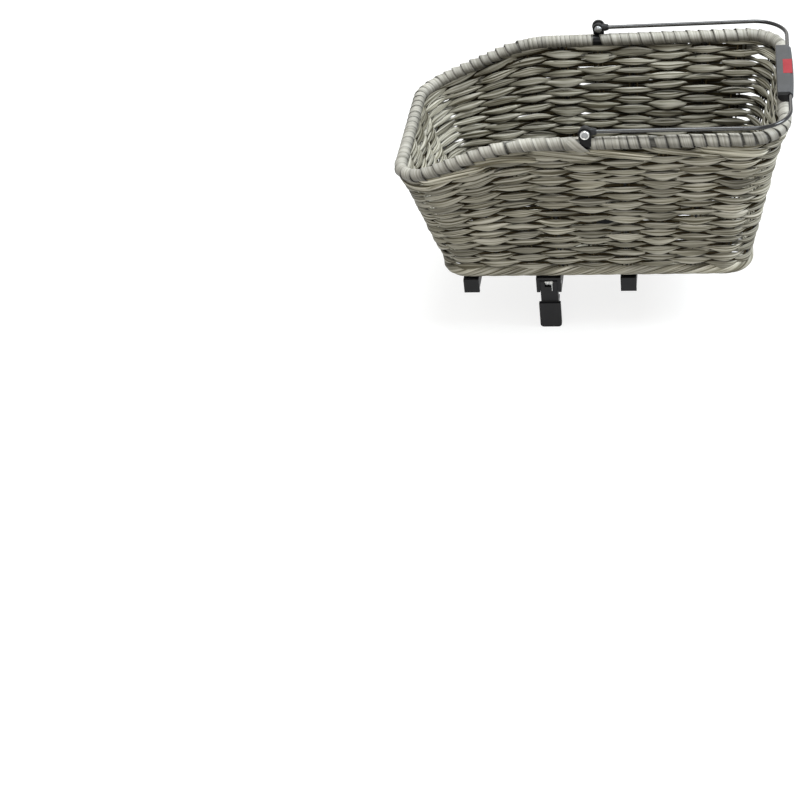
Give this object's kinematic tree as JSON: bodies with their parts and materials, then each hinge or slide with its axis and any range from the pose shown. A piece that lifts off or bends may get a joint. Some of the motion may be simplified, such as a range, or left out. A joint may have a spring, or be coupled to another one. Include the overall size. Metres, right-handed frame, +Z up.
{
  "type": "bicycle basket",
  "caption": "Woven rear carrier basket with a raked low front, wound rim, folding bail handle with a slim grip, and a quick-release adapter with hooks and a sprung latch.",
  "frame": {"origin": "centre of the adapter's flat underside, on the plane of the carrier rails' tops", "axes": "+X to the rear of the bicycle along the basket's length, +Y to its right, +Z up"},
  "size_m": [0.4379, 0.2648, 0.2813],
  "materials": {
    "rattan": "matt flat strand with fine lengthwise fibres",
    "binding": "matt flat strand, wound",
    "black_steel": "satin black coating",
    "bright_steel": "zinc-bright",
    "black_plastic": "moulded, fine grain",
    "grey_plastic": "moulded, satin",
    "red_inlay": "satin"
  },
  "bodies": {
    "basket": {"wire_frame": "black_steel", "woven_wall": "rattan", "foot_border": "rattan", "woven_floor": "rattan", "rim_wrap_rear": "binding", "rim_wrap_front": "binding", "hinge_bracket_left": "black_steel", "pivot_pin_left": "bright_steel", "pivot_nut_left": "bright_steel", "hinge_bracket_right": "black_steel", "pivot_pin_right": "bright_steel", "pivot_nut_right": "bright_steel", "adapter_housing": "black_plastic", "far_hook_front": "black_plastic", "far_hook_screw_front": "bright_steel", "clamp_plate_front": "black_steel", "far_hook_rear": "black_plastic", "far_hook_screw_rear": "bright_steel", "clamp_plate_rear": "black_steel", "floor_bolt_1": "bright_steel", "floor_bolt_2": "bright_steel", "floor_bolt_3": "bright_steel", "floor_bolt_4": "bright_steel", "floor_nut_1": "bright_steel", "floor_nut_2": "bright_steel", "floor_nut_3": "bright_steel", "floor_nut_4": "bright_steel", "latch_pin": "bright_steel", "latch_spring": "bright_steel"},
    "bail": {"bail_rod": "black_steel", "bail_knuckle_left": "black_plastic", "bail_knuckle_right": "black_plastic", "grip_top": "grey_plastic", "grip_base": "black_plastic", "grip_inlay": "red_inlay"},
    "latch": {"latch_lever": "black_plastic"}
  },
  "joints": [
    {"name": "bail_swing", "type": "hinge", "parent": "basket", "child": "bail", "pos_m": [0.054, 0, 0.227], "axis": [0, -1, 0], "range_deg": [0, 180]},
    {"name": "latch_release", "type": "hinge", "parent": "basket", "child": "latch", "pos_m": [0, -0.0857, 0.011], "axis": [-1, 0, 0], "range_deg": [0, 30], "stiffness_Nm_per_rad": 0.25, "springref_deg": -28.65, "deforming": ["latch_spring"]}
  ]
}
